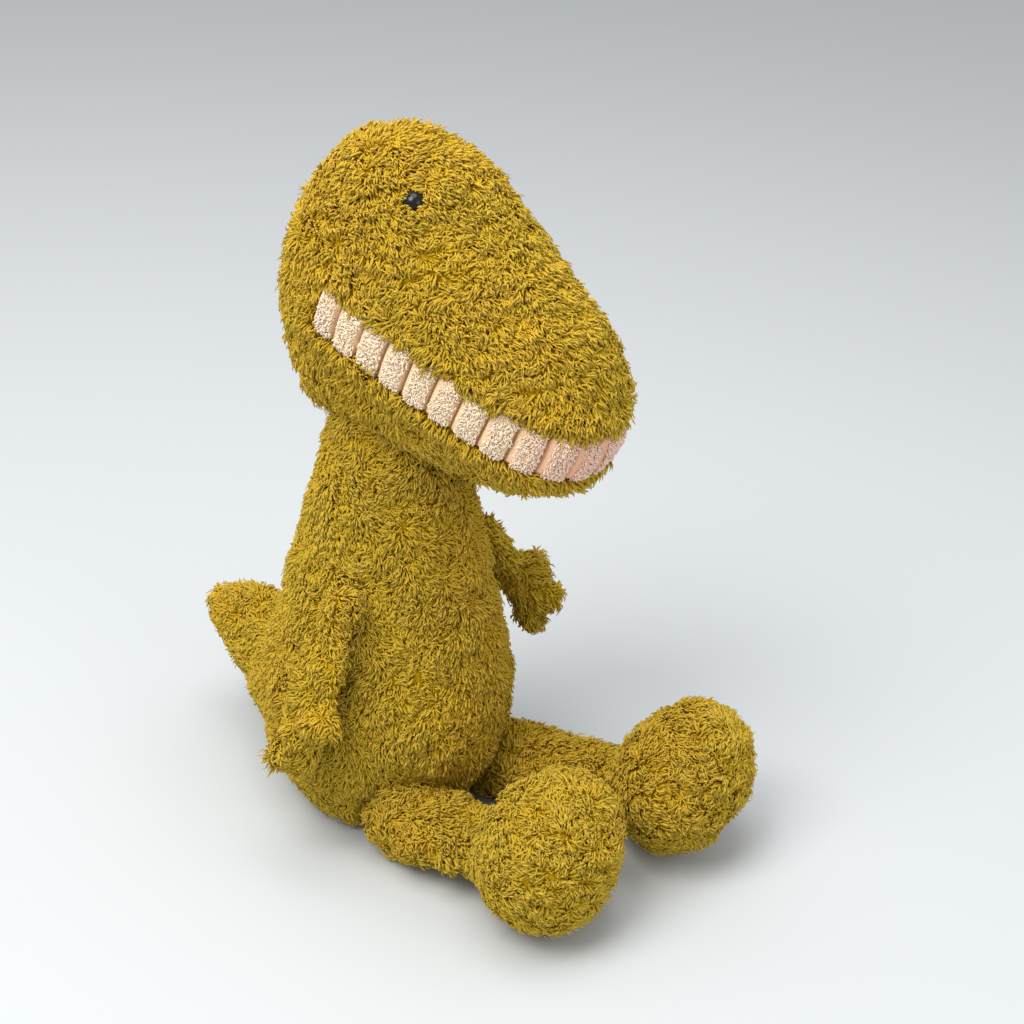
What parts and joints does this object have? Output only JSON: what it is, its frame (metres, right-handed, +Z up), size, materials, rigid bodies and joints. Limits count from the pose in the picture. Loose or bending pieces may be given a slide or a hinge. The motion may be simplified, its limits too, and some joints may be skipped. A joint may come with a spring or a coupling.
{
  "type": "stuffed dinosaur",
  "caption": "Sitting plush dinosaur with a big snout, a ribbed tooth band, short arms, round feet and a tail; head, limbs and tail turn at their seams.",
  "frame": {"origin": "on the floor, in the middle of the flat under the seat", "axes": "+Z up; the toy faces -Y; its right side is -X"},
  "size_m": [0.162, 0.2638, 0.3052],
  "materials": {
    "plush": "long olive pile",
    "tooth_plush": "short cream pile in wide ribs",
    "stuffing": "white polyester fibre",
    "bean_bag": "plain woven bag of pellets",
    "eye_bead": "polished black",
    "eye_washer": "moulded white",
    "thread": "sewing thread"
  },
  "bodies": {
    "body": {"belly_cover": "plush", "back_cover": "plush", "body_stuffing": "stuffing", "seat_bean_bag": "bean_bag"},
    "neck": {"neck_seam": "thread"},
    "head": {"head_cover": "plush", "jaw_cover": "plush", "tooth_band": "tooth_plush", "head_stuffing": "stuffing", "eye_right": "eye_bead", "eye_left": "eye_bead", "eye_washer_right": "eye_washer", "eye_washer_left": "eye_washer"},
    "tail": {"tail_cover": "plush", "tail_stuffing": "stuffing"},
    "arm_right": {"arm_cover_right": "plush", "arm_stuffing_right": "stuffing"},
    "leg_right": {"leg_cover_right": "plush", "leg_stuffing_right": "stuffing"},
    "foot_right": {"foot_cover_right": "plush", "sole_right": "plush", "foot_stuffing_right": "stuffing", "foot_bean_bag_right": "bean_bag"},
    "arm_left": {"arm_cover_left": "plush", "arm_stuffing_left": "stuffing"},
    "leg_left": {"leg_cover_left": "plush", "leg_stuffing_left": "stuffing"},
    "foot_left": {"foot_cover_left": "plush", "sole_left": "plush", "foot_stuffing_left": "stuffing", "foot_bean_bag_left": "bean_bag"}
  },
  "joints": [
    {"name": "head_turn", "type": "hinge", "parent": "body", "child": "neck", "pos_m": [0, -0.004, 0.186], "axis": [0, 0, 1], "range_deg": [-25, 25]},
    {"name": "head_nod", "type": "hinge", "parent": "neck", "child": "head", "pos_m": [0, -0.004, 0.186], "axis": [1, 0, 0], "range_deg": [-8, 6]},
    {"name": "tail_swing", "type": "hinge", "parent": "body", "child": "tail", "pos_m": [0, 0.036, 0.042], "axis": [0, 0, 1], "range_deg": [-15, 15]},
    {"name": "arm_right_swing", "type": "hinge", "parent": "body", "child": "arm_right", "pos_m": [-0.046, -0.014, 0.117], "axis": [-1, 0, 0], "range_deg": [-20, 90]},
    {"name": "leg_right_lift", "type": "hinge", "parent": "body", "child": "leg_right", "pos_m": [-0.03, -0.038, 0.0175], "axis": [-1, 0, 0], "range_deg": [0, 15]},
    {"name": "foot_right_roll", "type": "hinge", "parent": "leg_right", "child": "foot_right", "pos_m": [-0.029, -0.086, 0.021], "axis": [0, -1, 0], "range_deg": [-3, 20]},
    {"name": "arm_left_swing", "type": "hinge", "parent": "body", "child": "arm_left", "pos_m": [0.046, -0.014, 0.115], "axis": [-1, 0, 0], "range_deg": [-30, 80]},
    {"name": "leg_left_lift", "type": "hinge", "parent": "body", "child": "leg_left", "pos_m": [0.03, -0.041, 0.0175], "axis": [-1, 0, 0], "range_deg": [0, 15]},
    {"name": "foot_left_roll", "type": "hinge", "parent": "leg_left", "child": "foot_left", "pos_m": [0.042, -0.099, 0.023], "axis": [0, 1, 0], "range_deg": [-16, 6]}
  ]
}
